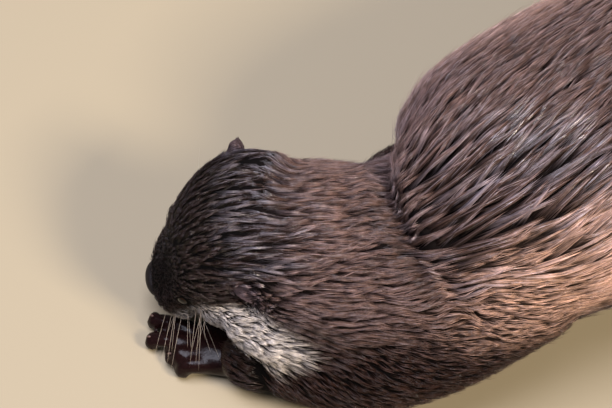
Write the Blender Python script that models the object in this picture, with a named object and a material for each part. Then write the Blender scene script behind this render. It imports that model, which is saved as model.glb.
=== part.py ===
"""Asian small-clawed otter, life size, crouched on all fours with its head down over its hands.

One smooth body is modelled whole, from a lofted trunk, head and limbs, and is then parted by thin cuts
into the named pieces. Eyes, ears, nose, paws and claws are pieces of their own. Metres, +Z up, the head
towards -X. Sizes are out to the tips of the coat.
"""

import math

import bmesh
import bpy
from mathutils import Matrix, Vector

CM = 0.01
GAP = 0.0004  # clearance left between neighbouring pieces
SPARE = 0.003  # what a piece keeps past its joint until it is thinned
SLIVER = 0.00002  # edges shorter than this are merged away
LIMB_MARGIN = 0.45  # how far a limb's solid reaches past its own run into the body, in cm

# The head hangs from a point midway between the ears.
HEAD_AT = Vector((0.0, 0.0, 8.5)) * CM
HEAD_PITCH = math.radians(54)  # nose down
HEAD_ROLL = math.radians(8)  # left cheek lower
HEAD_YAW = math.radians(3)

# Head sections from the nape forwards, in cm: distance ahead of the ears, half width, height above the
# line between the ears, depth below it.
HEAD = {
    "nape": (-3.2, 2.70, 1.30, 2.80),
    "occiput": (-1.6, 3.55, 2.10, 3.30),
    "ears": (0.0, 3.95, 2.40, 3.40),
    "temples": (1.5, 3.90, 2.44, 3.20),
    "cheekbones": (2.9, 3.50, 2.32, 2.90),
    "eyes": (4.2, 2.95, 1.92, 2.60),
    "stop": (5.1, 2.60, 1.48, 2.30),
    "whisker_pads": (6.0, 2.40, 1.20, 1.98),
    "lips": (6.9, 2.10, 0.94, 1.60),
    "nose_base": (7.55, 1.48, 0.70, 1.14),
    "nose_front": (7.85, 0.75, 0.36, 0.72),
}
HEAD_SQUARENESS = 2.25

EYE_RADIUS = 0.42
EYE_AT = (4.45, 2.30, 0.62)
NOSE_AT = (7.62, 0.0, 0.14)
NOSE_SIZE = (0.52, 0.98, 0.58)  # half length, half width, half height
EAR_AT = (0.20, 4.02, 0.20)
EAR_SIZE = (0.32, 0.66, 0.68)  # half depth, half width, half height
MOUTH_LEVEL = -0.98
MOUTH_CORNER = 4.3

# Sections of the neck, and of the trunk and tail, in cm: place of the middle, half width, height above it,
# depth below it.
NECK = {
    "nape": ((1.2, -0.5, 7.6), 3.70, 3.3, 3.2),
    "upper_neck": ((2.3, -0.8, 7.7), 4.45, 4.0, 3.9),
    "mid_neck": ((3.5, -1.15, 7.7), 4.65, 4.35, 4.2),
    "neck_base": ((6.0, -1.8, 7.8), 4.90, 4.5, 4.6),
    "withers": ((9.0, -1.4, 8.1), 5.30, 4.8, 5.0),
    "between_shoulders": ((11.5, 0.4, 8.6), 5.00, 5.0, 5.0),
}
THROAT = {  # the soft, sagging underside of the neck, which swells over the left forearm
    "jaw_angle": ((0.1, -1.5, 5.1), 3.20, 2.2, 2.0),
    "throat": ((1.6, -2.0, 5.3), 3.95, 3.0, 2.4),
    "lower_throat": ((3.6, -2.3, 5.5), 4.30, 3.2, 2.6),
    "brisket": ((6.5, -2.3, 5.9), 4.50, 3.6, 3.0),
    "breast": ((9.5, -1.4, 6.6), 4.40, 4.0, 3.6),
}
TRUNK = {
    "front": ((8.0, -1.0, 8.3), 3.60, 4.3, 4.4),
    "shoulders": ((9.4, -0.65, 8.6), 5.30, 5.3, 5.5),
    "front_ribs": ((11.5, 0.45, 9.0), 6.75, 6.4, 6.7),
    "ribs": ((13.4, 1.6, 9.3), 7.35, 7.0, 7.3),
    "midriff": ((17.1, 3.7, 9.6), 7.60, 7.2, 7.6),
    "loin": ((21.0, 5.8, 9.7), 7.50, 7.1, 7.6),
    "haunches": ((25.0, 7.7, 9.2), 6.90, 6.4, 6.9),
    "rump": ((28.6, 9.1, 8.0), 5.40, 4.9, 5.6),
    "tail_root": ((32.0, 10.1, 6.1), 3.50, 3.0, 3.4),
    "tail_slope": ((36.0, 11.2, 4.0), 2.55, 2.1, 2.3),
    "tail_touch": ((41.0, 12.1, 2.2), 2.05, 1.65, 2.0),
    "tail_lying": ((47.0, 12.2, 1.40), 1.60, 1.30, 1.44),
    "tail_thin": ((53.0, 11.3, 0.98), 1.05, 0.92, 1.02),
    "tail_tip": ((57.6, 10.0, 0.58), 0.45, 0.42, 0.60),
}

# Limbs from inside the body down to the wrist or heel, in cm: place, radius.
LIMBS = {
    "foreleg_left": [
        ((15.8, 1.4, 9.0), 3.2),
        ((13.2, -1.2, 8.1), 4.7),
        ((11.0, -2.7, 7.0), 4.45),
        ((8.9, -4.0, 5.8), 4.0),
        ((6.9, -4.8, 4.6), 3.4),
        ((4.9, -5.0, 3.4), 2.8),
        ((2.4, -4.6, 2.5), 2.15),
        ((0.6, -4.1, 1.9), 1.65),
        ((-0.7, -3.6, 1.25), 1.15),
    ],
    "foreleg_right": [
        ((14.5, 2.2, 8.4), 3.0),
        ((12.0, 2.9, 6.9), 3.9),
        ((9.9, 3.0, 5.5), 3.5),
        ((8.1, 3.5, 4.5), 3.1),
        ((6.5, 3.3, 3.4), 2.5),
        ((4.3, 2.7, 2.6), 2.0),
        ((2.2, 2.1, 1.9), 1.6),
        ((0.7, 1.8, 1.25), 1.15),
    ],
    "hindleg_left": [
        ((27.6, 7.0, 9.0), 3.2),
        ((25.6, 4.2, 8.9), 4.75),
        ((23.2, 1.9, 6.7), 4.1),
        ((21.7, 0.6, 5.0), 3.0),
        ((23.4, 0.7, 3.6), 2.2),
        ((25.5, 1.2, 2.5), 1.65),
        ((26.5, 1.6, 1.3), 1.25),
    ],
    "hindleg_right": [
        ((26.0, 9.0, 9.0), 3.2),
        ((23.4, 9.9, 8.9), 4.75),
        ((20.5, 10.8, 6.7), 4.1),
        ((18.7, 11.1, 5.0), 3.0),
        ((20.2, 12.0, 3.6), 2.2),
        ((22.0, 13.1, 2.5), 1.65),
        ((22.9, 13.8, 1.3), 1.25),
    ],
}

# Paws in their own frame, in cm: +X to the toes, +Y away from the thumb, origin on the floor under the wrist
# or heel. Sole: distance ahead, height, half width. Toes: root, turn in degrees, length, arch of the knuckle.
# Joint: a point on the flat that parts the paw from the leg, and the way to the paw.
FORE_PAW = {
    "sole": [(-0.9, 1.9, 1.0), (0.3, 1.6, 1.2), (1.3, 1.5, 1.35), (2.2, 1.25, 1.3), (2.9, 0.8, 0.9)],
    "middle": -0.25,
    "toes": [
        ((0.9, -1.25), -40, 1.5, 0.3),
        ((2.1, -0.85), -5, 2.8, 0.35),
        ((2.4, -0.15), 7, 2.25, 0.35),
        ((2.2, 0.45), 14, 1.15, 0.6),
        ((1.6, 0.85), 24, 1.05, 0.6),
    ],
    "toe_height": 0.85,
    "toe_radius": 0.42,
    "tip_radius": 0.50,
    "web": (2.3, -0.2, 0.9, 1.1),
    "joint": ((-0.75, 0, 1.6), (0.85, 0, -0.5)),
}
HIND_PAW = {
    "sole": [(-0.5, 1.9, 1.0), (0.9, 1.5, 1.15), (2.6, 1.15, 1.25), (4.0, 0.95, 1.3), (4.8, 0.7, 0.9)],
    "middle": 0.0,
    "toes": [
        ((3.3, -1.05), -24, 1.7, 0.35),
        ((4.1, -0.6), -11, 2.2, 0.35),
        ((4.4, 0.0), 0, 2.4, 0.35),
        ((4.2, 0.6), 11, 2.2, 0.35),
        ((3.5, 1.1), 24, 1.8, 0.35),
    ],
    "toe_height": 0.70,
    "toe_radius": 0.40,
    "tip_radius": 0.46,
    "web": (4.7, 0.0, 1.3, 1.6),
    "joint": ((0, 0, 1.95), (-0.1, 0, -1)),
}
PAWS = {  # shape, limb, heading of the toes in degrees from +X, side of the body
    "forepaw_left": (FORE_PAW, "foreleg_left", 162, 1),
    "forepaw_right": (FORE_PAW, "foreleg_right", 182, -1),
    "hindpaw_left": (HIND_PAW, "hindleg_left", 206, 1),
    "hindpaw_right": (HIND_PAW, "hindleg_right", 202, -1),
}
CLAW_LENGTH, CLAW_RADIUS = 0.28, 0.10

# Triangles wanted in each faceted piece.
FACETS = {
    "head": 1300,
    "neck": 280,
    "trunk": 560,
    "tail": 160,
    "foreleg": 240,
    "hindleg": 240,
    "forepaw": 500,
    "hindpaw": 340,
    "limb_space": 130,
}

OPPOSITE = {"foreleg_right": "foreleg_left", "hindleg_right": "hindleg_left"}  # legs that meet in the body
FLOOR = (Vector(), Vector((0, 0, -1)))  # a point on it, and the way down

# Flats that part the body, in cm: a point on each, and the way to the tail.
JOINTS = {
    "occiput": ((0.35, -0.6, 7.8), (0.93, 0, -0.37)),
    "shoulders": ((7.6, -1.0, 8.4), (0.97, 0.2, 0.1)),
    "rump": ((31.0, 9.9, 6.7), (0.85, 0.25, -0.5)),
    "tail_front": ((38.5, 11.7, 3.0), (0.93, 0.2, -0.35)),
    "tail_back": ((47.5, 12.2, 1.4), (1, 0, -0.1)),
}
BODY = {  # each length of the body, with the joints before and behind it
    "head": (None, "occiput"),
    "neck": ("occiput", "shoulders"),
    "trunk": ("shoulders", "rump"),
    "tail_root": ("rump", "tail_front"),
    "tail_middle": ("tail_front", "tail_back"),
    "tail_tip": ("tail_back", None),
}

COLOURS = {  # base colour, roughness
    "brown_fur": ((0.105, 0.062, 0.044), 0.55),
    "pale_fur": ((0.52, 0.45, 0.38), 0.6),
    "bare_skin": ((0.085, 0.030, 0.026), 0.35),
    "nose_leather": ((0.018, 0.014, 0.015), 0.35),
    "eye": ((0.006, 0.004, 0.003), 0.05),
    "claw": ((0.30, 0.20, 0.15), 0.4),
}


def clear_scene():
    for obj in list(bpy.data.objects):
        bpy.data.objects.remove(obj)


def material(name):
    """Principled BSDF with the colour and roughness of this part of the animal."""
    found = bpy.data.materials.get(name)
    if found:
        return found
    colour, roughness = COLOURS[name]
    made = bpy.data.materials.new(name)
    made.use_nodes = True
    shader = made.node_tree.nodes["Principled BSDF"]
    shader.inputs["Base Color"].default_value = (*colour, 1)
    shader.inputs["Roughness"].default_value = roughness
    shader.inputs["Metallic"].default_value = 0
    return made


def add_object(name, bm):
    mesh = bpy.data.meshes.new(name)
    bm.to_mesh(mesh)
    bm.free()
    obj = bpy.data.objects.new(name, mesh)
    bpy.context.scene.collection.objects.link(obj)
    return obj


def apply_modifiers(obj):
    """Replaces the object's mesh by what its modifiers make of it."""
    bpy.context.view_layer.update()
    graph = bpy.context.evaluated_depsgraph_get()
    mesh = bpy.data.meshes.new_from_object(obj.evaluated_get(graph))
    obj.modifiers.clear()
    obj.data = mesh
    return obj


def head_matrix():
    """From the head's own frame, +X to the nose and +Y to its left, to the model's."""
    turn = Matrix.Rotation(math.pi - HEAD_YAW, 4, "Z")
    pitch = Matrix.Rotation(HEAD_PITCH, 4, "Y")
    roll = Matrix.Rotation(-HEAD_ROLL, 4, "X")
    return Matrix.Translation(HEAD_AT) @ turn @ pitch @ roll


def through(rows, steps):
    """A smooth Catmull-Rom run through rows of numbers, with steps samples to each span."""
    padded = [rows[0], *rows, rows[-1]]
    run = []
    for before, start, end, after in zip(padded, padded[1:], padded[2:], padded[3:]):
        for step in range(steps):
            t = step / steps
            run.append(
                [
                    0.5 * (2 * b + (c - a) * t + (2 * a - 5 * b + 4 * c - d) * t**2 + (3 * b - a - 3 * c + d) * t**3)
                    for a, b, c, d in zip(before, start, end, after)
                ]
            )
    run.append(list(rows[-1]))
    return run


def add_ring(bm, centre, left, up, half_width, rise, drop, squareness, segments):
    """One closed section: a superellipse, taller above its middle than below it where rise and drop differ."""
    ring = bmesh.ops.create_circle(bm, segments=segments, radius=1)["verts"]
    for vertex in ring:
        across, along = vertex.co.x, vertex.co.y
        power = 2 / squareness
        y = math.copysign(abs(across) ** power, across) * half_width
        z = math.copysign(abs(along) ** power, along) * (rise if along > 0 else drop)
        vertex.co = centre + left * y + up * z
    return ring


def edges_of(ring):
    inside = set(ring)
    return list(dict.fromkeys(e for v in ring for e in v.link_edges if e.other_vert(v) in inside))


def loft(bm, sections, segments=32):
    """Joins a run of rings into one closed skin and caps its two ends."""
    rings = [add_ring(bm, *section, segments) for section in sections]
    loops = [edges_of(ring) for ring in rings]
    for first, second in zip(loops, loops[1:]):
        bmesh.ops.bridge_loops(bm, edges=first + second)
    for end in (loops[0], loops[-1]):
        bmesh.ops.edgeloop_fill(bm, edges=end)
    bmesh.ops.recalc_face_normals(bm, faces=bm.faces)


def add_ellipsoid(bm, centre, size, turn=None, segments=24):
    """A ball with three half sizes, in cm, turned about its middle."""
    place = Matrix.Translation(Vector(centre) * CM)
    if turn is not None:
        place = place @ turn
    scale = Matrix.Diagonal((*(s * CM for s in size), 1))
    bmesh.ops.create_uvsphere(bm, u_segments=segments, v_segments=segments // 2, radius=1, matrix=place @ scale)


def spine_sections(rows):
    """Rings square to a curved spine that runs from the front to the back."""
    run = through([[*place, width, rise, drop] for place, width, rise, drop in rows], 5)
    points = [Vector(row[:3]) for row in run]
    sections = []
    for i, row in enumerate(run):
        forward = (points[max(i - 1, 0)] - points[min(i + 1, len(run) - 1)]).normalized()
        left = Vector((0, 0, 1)).cross(forward).normalized()
        up = forward.cross(left)
        sections.append((points[i] * CM, left, up, row[3] * CM, row[4] * CM, row[5] * CM, 2.1))
    return sections


def head_sections():
    left, up = Vector((0, 1, 0)), Vector((0, 0, 1))
    return [
        (Vector((ahead * CM, 0, 0)), left, up, width * CM, rise * CM, drop * CM, HEAD_SQUARENESS)
        for ahead, width, rise, drop in through(list(HEAD.values()), 4)
    ]


def tube_sections(limb):
    """Round rings along a run of places with radii."""
    run = through([[*place, radius] for place, radius in limb], 4)
    points = [Vector(row[:3]) for row in run]
    sections = []
    for i, row in enumerate(run):
        along = (points[min(i + 1, len(run) - 1)] - points[max(i - 1, 0)]).normalized()
        left = along.orthogonal().normalized()
        radius = row[3] * CM
        sections.append((points[i] * CM, left, along.cross(left), radius, radius, radius, 2))
    return sections


def head_mass():
    """The head's outline with the swellings that give the face: cheeks, brows, whisker pads and chin."""
    bm = bmesh.new()
    loft(bm, head_sections())
    for side in (-1, 1):
        add_ellipsoid(bm, (2.6, side * 2.45, -1.15), (2.5, 1.8, 1.7))
        add_ellipsoid(bm, (4.0, side * 1.85, 0.80), (1.3, 0.85, 0.66))
        add_ellipsoid(bm, (5.95, side * 1.45, -0.72), (1.5, 1.12, 0.84))
    add_ellipsoid(bm, (5.6, 0, -1.5), (1.35, 1.15, 0.62))
    bm.transform(head_matrix())
    return bm


def fuse(bm, name, voxel, rounds):
    """Makes overlapping solids one even skin, and rounds the joins between them."""
    obj = add_object(name, bm)
    remesh = obj.modifiers.new("fuse", "REMESH")
    remesh.mode = "VOXEL"
    remesh.voxel_size = voxel
    smooth = obj.modifiers.new("round_off", "SMOOTH")
    smooth.factor = 0.5
    smooth.iterations = rounds
    return apply_modifiers(obj)


def whole_body():
    bm = head_mass()
    for run in (NECK, THROAT, TRUNK):
        loft(bm, spine_sections(run.values()))
    for limb in LIMBS.values():
        loft(bm, tube_sections(limb), 28)
    return fuse(bm, "body", 0.0022, 7)


def limb_space(limb, margin):
    """The space that a limb's solid is cut from: its own run, fatter, from just inside the body."""
    bm = bmesh.new()
    loft(bm, tube_sections([(place, radius + margin) for place, radius in LIMBS[limb][1:]]), 20)
    return fuse(bm, "space_" + limb, 0.003, 3)


def plate(centre, half_size):
    """A plate with its middle at a point, both in cm and in the head's frame."""
    scale = Matrix.Diagonal((*(2 * half * CM for half in half_size), 1))
    bm = bmesh.new()
    bmesh.ops.create_cube(bm, size=1, matrix=head_matrix() @ Matrix.Translation(Vector(centre) * CM) @ scale)
    return add_object("plate", bm)


def cut(obj, cutter, operation="DIFFERENCE", keep=False):
    """Takes the cutter's solid out of the object, or keeps only what lies inside it."""
    difference = obj.modifiers.new("cut", "BOOLEAN")
    difference.operation = operation
    difference.solver = "EXACT"
    difference.object = cutter
    apply_modifiers(obj)
    bm = bmesh.new()
    bm.from_mesh(obj.data)
    bmesh.ops.remove_doubles(bm, verts=bm.verts, dist=SLIVER)
    bmesh.ops.dissolve_degenerate(bm, edges=bm.edges, dist=SLIVER)
    bmesh.ops.triangulate(bm, faces=bm.faces)
    bm.to_mesh(obj.data)
    bm.free()
    if not keep:
        bpy.data.objects.remove(cutter)


def islands(bm):
    """The loose bodies of a mesh, as lists of faces."""
    left = set(bm.faces)
    while left:
        todo = [left.pop()]
        island = []
        while todo:
            face = todo.pop()
            island.append(face)
            for edge in face.edges:
                for other in edge.link_faces:
                    if other in left:
                        left.remove(other)
                        todo.append(other)
        yield island


def keep_island(obj, rank):
    """Drops every loose body of the object but one: the largest is 1, the next 2."""
    bm = bmesh.new()
    bm.from_mesh(obj.data)
    parts = sorted(islands(bm), key=len, reverse=True)
    kept = set(parts[rank - 1])
    bmesh.ops.delete(bm, geom=[face for face in bm.faces if face not in kept], context="FACES")
    bm.to_mesh(obj.data)
    bm.free()


def trim(obj, point, away):
    """Cuts off all that lies on the far side of a flat, and closes the cut."""
    bm = bmesh.new()
    bm.from_mesh(obj.data)
    geometry = bm.verts[:] + bm.edges[:] + bm.faces[:]
    result = bmesh.ops.bisect_plane(bm, geom=geometry, plane_co=point, plane_no=away, clear_outer=True)
    rim = [e for e in result["geom_cut"] if isinstance(e, bmesh.types.BMEdge)]
    bmesh.ops.edgeloop_fill(bm, edges=rim)
    bmesh.ops.triangulate(bm, faces=[f for f in bm.faces if len(f.verts) > 4])
    bmesh.ops.recalc_face_normals(bm, faces=bm.faces)
    bm.to_mesh(obj.data)
    bm.free()


def facet(obj, kind):
    """Thins an even skin to the triangles this piece needs."""
    thin = obj.modifiers.new("thin", "DECIMATE")
    obj.data.calc_loop_triangles()
    thin.ratio = min(1, FACETS[kind] / len(obj.data.loop_triangles))
    apply_modifiers(obj)


def trim_at_joints(obj, before, behind, margin):
    """Cuts a length of the body off at its joints. A margin leaves it longer at both ends."""
    for joint, side in ((before, -1), (behind, 1)):
        if joint:
            point, back = JOINTS[joint]
            away = Vector(back).normalized() * side
            trim(obj, Vector(point) * CM + away * margin, away)


def build_body():
    """Each piece is thinned while a little too big, so that the cuts between pieces stay true and keep the gap."""
    body = whole_body()
    spaces = {limb: limb_space(limb, LIMB_MARGIN) for limb in LIMBS}
    for space in spaces.values():
        facet(space, "limb_space")
    for name, (before, behind) in BODY.items():
        piece = copy_of(body, name)
        trim_at_joints(piece, before, behind, SPARE)
        keep_island(piece, 1)
        facet(piece, name.split("_")[0])
        trim(piece, *FLOOR)
        trim_at_joints(piece, before, behind, -GAP / 2)
        for space in spaces.values() if name in ("head", "neck", "trunk") else ():
            cut(piece, copy_of(space, "space", GAP / 2))
        keep_island(piece, 1)
    for limb, space in spaces.items():
        leg = copy_of(body, limb)
        cut(leg, limb_space(limb, LIMB_MARGIN + SPARE / CM), "INTERSECT")
        keep_island(leg, 1)
        facet(leg, limb.split("_")[0])
        cut(leg, copy_of(space, "space", -GAP / 2), "INTERSECT")
        if limb in OPPOSITE:
            cut(leg, copy_of(spaces[OPPOSITE[limb]], "space", GAP / 2))
        keep_island(leg, 1)
    for space in spaces.values():
        bpy.data.objects.remove(space)
    bpy.data.objects.remove(body)


def part_jaw():
    """The closed mouth's line runs back to the corner of the lips, and from there down through the throat."""
    reach, depth, overlap, half_gap = 4.3, 1.7, 0.02, GAP / CM / 2
    head = bpy.data.objects["head"]
    cut(head, plate((MOUTH_CORNER + reach, 0, MOUTH_LEVEL), (reach + overlap, reach, half_gap)))
    cut(head, plate((MOUTH_CORNER, 0, MOUTH_LEVEL - depth), (half_gap, reach, depth + overlap)))
    keep_island(copy_of(head, "jaw"), 2)
    keep_island(head, 1)


def paw_frame(name):
    """From the paw's own frame to the model's. The right paws mirror the left ones."""
    _, limb, heading, side = PAWS[name]
    wrist = Vector(LIMBS[limb][-1][0])
    place = Matrix.Translation(Vector((wrist.x, wrist.y, 0)) * CM)
    return place @ Matrix.Rotation(math.radians(heading), 4, "Z") @ Matrix.Diagonal((1, side, 1, 1))


def toe_run(shape, toe):
    """Places and radii along one toe, from its root over the knuckle to the round pad at its tip."""
    (x, y), degrees, length, arch = toe
    angle = math.radians(degrees)
    forward, up = Vector((math.cos(angle), math.sin(angle), 0)), Vector((0, 0, 1))
    root = Vector((x, y, shape["toe_height"]))
    thick, pad = shape["toe_radius"], shape["tip_radius"]
    tip_drop = root.z - pad + 0.02
    return [
        (root - forward * 0.5, thick * 1.2),
        (root + forward * length * 0.35 + up * 0.12 * arch, thick * 1.1),
        (root + forward * length * 0.72 - up * tip_drop * 0.55, thick),
        (root + forward * (length - pad * 0.6) - up * tip_drop, pad),
        (root + forward * length - up * tip_drop, pad * 0.62),
    ]


def claw_places(shape):
    """Where each claw grows, on top of the toe's tip, and its heading."""
    for toe in shape["toes"]:
        angle = math.radians(toe[1])
        place, radius = toe_run(shape, toe)[3]
        forward = Vector((math.cos(angle), math.sin(angle), 0))
        yield place + forward * radius * 0.25 + Vector((0, 0, radius * 0.80)), angle


def claw_body(place, angle, grown=0.0):
    """A short blunt peg that points forwards and a little down. Grown is added all round, in cm."""
    bm = bmesh.new()
    lean = Matrix.Rotation(angle, 4, "Z") @ Matrix.Rotation(math.radians(104), 4, "Y")
    bmesh.ops.create_cone(
        bm,
        cap_ends=True,
        segments=5,
        radius1=(CLAW_RADIUS + grown) * CM,
        radius2=(CLAW_RADIUS * 0.45 + grown) * CM,
        depth=(CLAW_LENGTH + 2 * grown) * CM,
        matrix=Matrix.Translation(place * CM) @ lean,
    )
    return bm


def whole_limb(name):
    """A leg and its paw as one even skin, in the model's frame."""
    shape, limb, _, _ = PAWS[name]
    bm = bmesh.new()
    left, up = Vector((0, 1, 0)), Vector((0, 0, 1))
    sections = []
    for ahead, height, width in through(shape["sole"], 3):
        middle = Vector((ahead, shape["middle"], height * 0.48)) * CM
        sections.append((middle, left, up, width * CM, height * 0.52 * CM, height * 0.52 * CM, 2.4))
    loft(bm, sections, 24)
    for toe in shape["toes"]:
        loft(bm, tube_sections(toe_run(shape, toe)), 14)
    ahead, middle, length, width = shape["web"]
    add_ellipsoid(bm, (ahead, middle, 0.5), (length, width, 0.22))
    bm.transform(paw_frame(name))
    bmesh.ops.recalc_face_normals(bm, faces=bm.faces)
    loft(bm, tube_sections(LIMBS[limb]), 28)
    return fuse(bm, name, 0.0011, 4)


def copy_of(obj, name, grown=0.0):
    """A copy of the object's mesh, pushed out along its normals."""
    bm = bmesh.new()
    bm.from_mesh(obj.data)
    bm.normal_update()
    for vertex in bm.verts:
        vertex.co += vertex.normal * grown * vertex.calc_shell_factor()
    return add_object(name, bm)


def build_paws():
    """Each limb is parted at the wrist or heel, and its claws are let into the tips of the toes."""
    for name, (shape, limb, _, side) in PAWS.items():
        paw = whole_limb(name)
        leg = bpy.data.objects[limb]
        place = paw_frame(name)
        point, to_paw = (Vector(v) for v in shape["joint"])
        point = place @ (point * CM)
        to_paw = (place.to_3x3() @ to_paw).normalized()
        trim(paw, point - to_paw * SPARE, -to_paw)
        trim(paw, *FLOOR)
        keep_island(paw, 1)
        facet(paw, name.split("_")[0])
        trim(paw, *FLOOR)
        trim(paw, point + to_paw * GAP / 2, -to_paw)
        trim(leg, point - to_paw * GAP / 2, to_paw)
        keep_island(leg, 1)
        for number, (place, angle) in enumerate(claw_places(shape), 1):
            for grown in (GAP / CM, 0):
                bm = claw_body(place, angle, grown)
                bm.transform(paw_frame(name))
                if side < 0:
                    bmesh.ops.reverse_faces(bm, faces=bm.faces)
                if grown:
                    cut(paw, add_object("claw_bed", bm))
                else:
                    add_object(f"claw_{name.replace('paw', '')}_{number}", bm)


def ball(name, centre, size, matrix, segments=12):
    bm = bmesh.new()
    add_ellipsoid(bm, centre, size, segments=segments)
    bm.transform(matrix)
    return add_object(name, bm)


def build_eyes_and_nose():
    """Eyeballs seated in round sockets, and the bare nose pad let into the end of the muzzle."""
    head = bpy.data.objects["head"]
    place = head_matrix()
    clear = GAP / CM
    for name, side in (("eye_left", 1), ("eye_right", -1)):
        centre = (EYE_AT[0], side * EYE_AT[1], EYE_AT[2])
        cut(head, ball("socket", centre, (EYE_RADIUS + clear,) * 3, place))
        ball(name, centre, (EYE_RADIUS,) * 3, place)
    cut(head, ball("nose_bed", NOSE_AT, [size + clear for size in NOSE_SIZE], place))
    ball("nose", NOSE_AT, NOSE_SIZE, place)


def build_ears():
    """Small round cupped ears that open forwards and outwards and end on the side of the head."""
    behind = [copy_of(bpy.data.objects[name], "copy", GAP) for name in ("head", "neck")]
    for name, side in (("ear_left", 1), ("ear_right", -1)):
        facing = Matrix.Rotation(math.radians(side * 48), 4, "Z") @ Matrix.Rotation(math.radians(-12), 4, "Y")
        centre = Vector((EAR_AT[0], side * EAR_AT[1], EAR_AT[2]))
        depth, width, height = EAR_SIZE
        bm = bmesh.new()
        add_ellipsoid(bm, centre, EAR_SIZE, facing, 14)
        bm.transform(head_matrix())
        ear = add_object(name, bm)
        bm = bmesh.new()
        forward = facing @ Vector((depth * 0.78, 0, 0))
        add_ellipsoid(bm, centre + forward, (depth * 0.95, width * 0.84, height * 0.84), facing, 14)
        bm.transform(head_matrix())
        cut(ear, add_object("ear_hollow", bm))
        for copy in behind:
            cut(ear, copy, keep=True)
        keep_island(ear, 1)
    for copy in behind:
        bpy.data.objects.remove(copy)


def finish_pieces():
    """Gives each piece its material, and sets the origin on the floor under the middle of the animal."""
    bpy.context.view_layer.update()
    pieces = [o for o in bpy.context.scene.objects if o.type == "MESH"]
    corners = [v.co for o in pieces for v in o.data.vertices]
    low = Vector(min(c[i] for c in corners) for i in range(3))
    high = Vector(max(c[i] for c in corners) for i in range(3))
    shift = Matrix.Translation(-Vector(((low.x + high.x) / 2, (low.y + high.y) / 2, low.z)))
    kinds = {"eye": "eye", "nose": "nose_leather", "claw": "claw", "jaw": "pale_fur"}
    kinds |= {"forepaw": "bare_skin", "hindpaw": "bare_skin"}
    for piece in pieces:
        piece.data.transform(shift)
        piece.data.materials.clear()
        piece.data.materials.append(material(kinds.get(piece.name.split("_")[0], "brown_fur")))
        piece.data.shade_smooth()


clear_scene()
build_body()
part_jaw()
build_paws()
build_eyes_and_nose()
build_ears()
finish_pieces()
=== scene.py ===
"""An Asian small-clawed otter, life size, wet from the water and crouched over its hands.

The hide is one skin from muzzle to tail. The coat lies over it in wet pointed locks, and the eyes, nose,
claws and whiskers are set into it.
"""

import math

import bmesh
import bpy
import numpy as np
from mathutils import Matrix, Vector
from mathutils.bvhtree import BVHTree
from mathutils.kdtree import KDTree


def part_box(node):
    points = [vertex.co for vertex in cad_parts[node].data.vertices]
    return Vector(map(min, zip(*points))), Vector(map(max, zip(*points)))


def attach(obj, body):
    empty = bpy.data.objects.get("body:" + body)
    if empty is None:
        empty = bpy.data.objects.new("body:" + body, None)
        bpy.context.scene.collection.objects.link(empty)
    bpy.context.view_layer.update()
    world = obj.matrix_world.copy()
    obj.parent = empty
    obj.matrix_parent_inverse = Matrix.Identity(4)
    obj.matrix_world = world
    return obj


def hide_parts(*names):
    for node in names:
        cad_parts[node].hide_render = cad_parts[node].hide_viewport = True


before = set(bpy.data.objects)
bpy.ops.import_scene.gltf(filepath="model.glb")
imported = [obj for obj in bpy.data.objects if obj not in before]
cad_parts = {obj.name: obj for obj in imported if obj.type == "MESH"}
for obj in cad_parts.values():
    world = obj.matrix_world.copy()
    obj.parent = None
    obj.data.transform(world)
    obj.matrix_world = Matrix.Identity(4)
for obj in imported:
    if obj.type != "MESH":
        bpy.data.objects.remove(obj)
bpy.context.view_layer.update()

# ---- The head's own frame -----------------------------------------
# Nothing solid: the line through the two eyes and the way to the nose say how the head is held. X runs
# ahead to the nose, Y to the left and Z above, and the origin lies midway between the ears.

MM = 0.001
EYE_AHEAD, EYE_UP = 44.5 * MM, 6.2 * MM
NOSE_AHEAD, NOSE_UP = 76.2 * MM, 1.4 * MM


def middle(node):
    low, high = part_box(node)
    return (low + high) / 2


SIDES = {"left": 1, "right": -1}
eyes = {side: middle("eye_" + side) for side in SIDES}
nose_middle = middle("nose")
to_left = (eyes["left"] - eyes["right"]).normalized()
to_nose = (nose_middle - (eyes["left"] + eyes["right"]) / 2).normalized()
dip = Matrix.Rotation(-math.atan2(EYE_UP - NOSE_UP, NOSE_AHEAD - EYE_AHEAD), 3, to_left)
ahead = (dip @ to_nose).normalized()
above = ahead.cross(to_left)
head_turn = Matrix((ahead, to_left, above)).transposed()
to_origin = Matrix.Translation((-NOSE_AHEAD, 0, -NOSE_UP))
head_place = Matrix.Translation(nose_middle) @ head_turn.to_4x4() @ to_origin
to_head = np.array(head_place.inverted())


def in_head_frame(points):
    """Places in the head's own frame, in cm: ahead, left, above."""
    return (points @ to_head[:3, :3].T + to_head[:3, 3]) * 100


def from_nearest(points, centres):
    """How far each point is from the nearest of a few centres."""
    return np.min([np.linalg.norm(points - np.array(centre), axis=1) for centre in centres], axis=0)


def rise(low, high, values):
    """0 below low and 1 above high, with a smooth slope between. High may be the lesser of the two."""
    t = np.clip((values - low) / (high - low), 0, 1)
    return t * t * (3 - 2 * t)


# ---- The skin -----------------------------------------------------
# The hide of the whole animal, thin and loose over the muscles, without a seam. It lies under the coat by
# the coat's depth, is bare on the hands and feet, and is folded into lids, lips and ears.

FLESH = ["head", "jaw", "neck", "trunk", "tail_root", "tail_middle", "tail_tip"]
FLESH += [f"{part}_{side}" for part in ("foreleg", "hindleg", "forepaw", "hindpaw", "ear") for side in SIDES]
KIND = [name.split("_")[0] for name in FLESH]
OVERLAP = 0.35 * MM  # how far the pieces grow to meet each other
FINE = 1.1 * MM  # the skin's grain while it is shaped
LID = 0.7 * MM
SKIN_TRIANGLES = 188000
EYE_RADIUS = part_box("eye_left")[1].z - eyes["left"].z

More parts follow.
